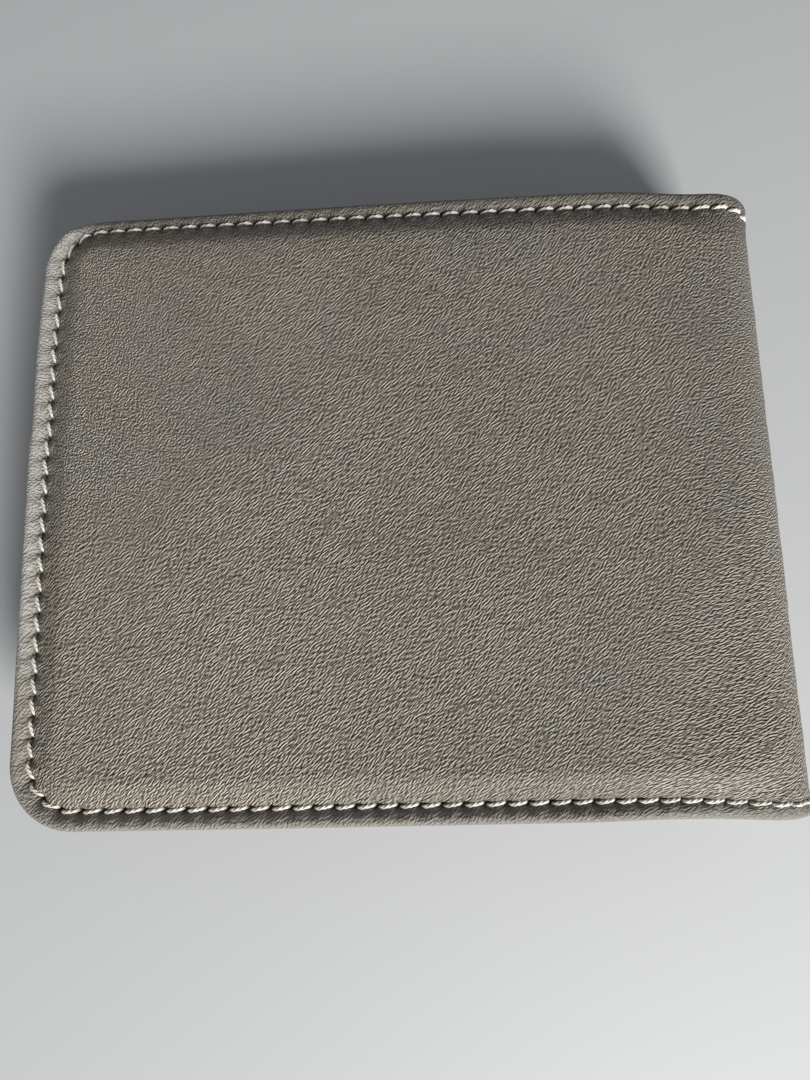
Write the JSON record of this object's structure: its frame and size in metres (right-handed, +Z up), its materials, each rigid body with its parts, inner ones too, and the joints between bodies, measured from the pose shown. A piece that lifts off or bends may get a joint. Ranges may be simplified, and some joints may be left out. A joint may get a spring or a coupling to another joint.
{
  "type": "trifold wallet",
  "caption": "Leather wallet, closed: padded outer leaves unfold about a rounded spine, with card pockets, a bill compartment and a hinged centre leaf with an ID window.",
  "frame": {"origin": "under the middle of the closed wallet, on the back leaf's resting face", "axes": "+X from the free edge to the spine, +Y to the open top edge of the bill compartment, +Z up through the closed wallet"},
  "size_m": [0.114, 0.095, 0.022],
  "materials": {
    "outer_leather": "soft satin, fine grain",
    "inner_leather": "soft satin, fine grain",
    "lining_fabric": "fine twill",
    "thread": "waxed twisted thread",
    "foam": "open-cell foam sheet",
    "window_film": "clear gloss"
  },
  "bodies": {
    "back_leaf": {"cover_back": "outer_leather", "seam_thread_back": "thread", "padding_back": "foam", "lining_back": "lining_fabric", "bill_wall_back": "inner_leather", "back_pocket_upper": "inner_leather", "back_pocket_upper_lining": "lining_fabric", "back_pocket_middle": "inner_leather", "back_pocket_middle_lining": "lining_fabric", "back_pocket_lower": "inner_leather"},
    "spine": {"cover_spine": "outer_leather", "lining_spine": "lining_fabric", "bill_wall_spine": "inner_leather", "spine_thread_top": "thread", "spine_thread_bottom": "thread"},
    "front_leaf": {"cover_front": "outer_leather", "seam_thread_front": "thread", "padding_front": "foam", "lining_front": "lining_fabric", "bill_wall_front": "inner_leather", "front_pocket_upper": "inner_leather", "front_pocket_upper_lining": "lining_fabric", "front_pocket_middle": "inner_leather", "front_pocket_middle_lining": "lining_fabric", "front_pocket_lower": "inner_leather"},
    "centre_leaf": {"centre_slip_pocket": "inner_leather", "centre_panel": "inner_leather", "centre_hinge_strip": "inner_leather", "id_window_film": "window_film", "id_window_frame": "inner_leather"}
  },
  "joints": [
    {"name": "spine_fold", "type": "hinge", "parent": "back_leaf", "child": "spine", "pos_m": [0.0548, 0, 0.0022], "axis": [0, 1, 0], "range_deg": [0, 90]},
    {"name": "front_fold", "type": "hinge", "parent": "spine", "child": "front_leaf", "pos_m": [0.0548, 0, 0.0198], "axis": [0, 1, 0], "range_deg": [0, 90]},
    {"name": "centre_fold", "type": "hinge", "parent": "spine", "child": "centre_leaf", "pos_m": [0.0524, 0, 0.011], "axis": [0, 1, 0], "range_deg": [-30, 0]}
  ],
  "couplings": [
    {"joint": "front_fold", "follows": "spine_fold", "ratio": 1},
    {"joint": "centre_fold", "follows": "spine_fold", "ratio": -0.3333}
  ]
}
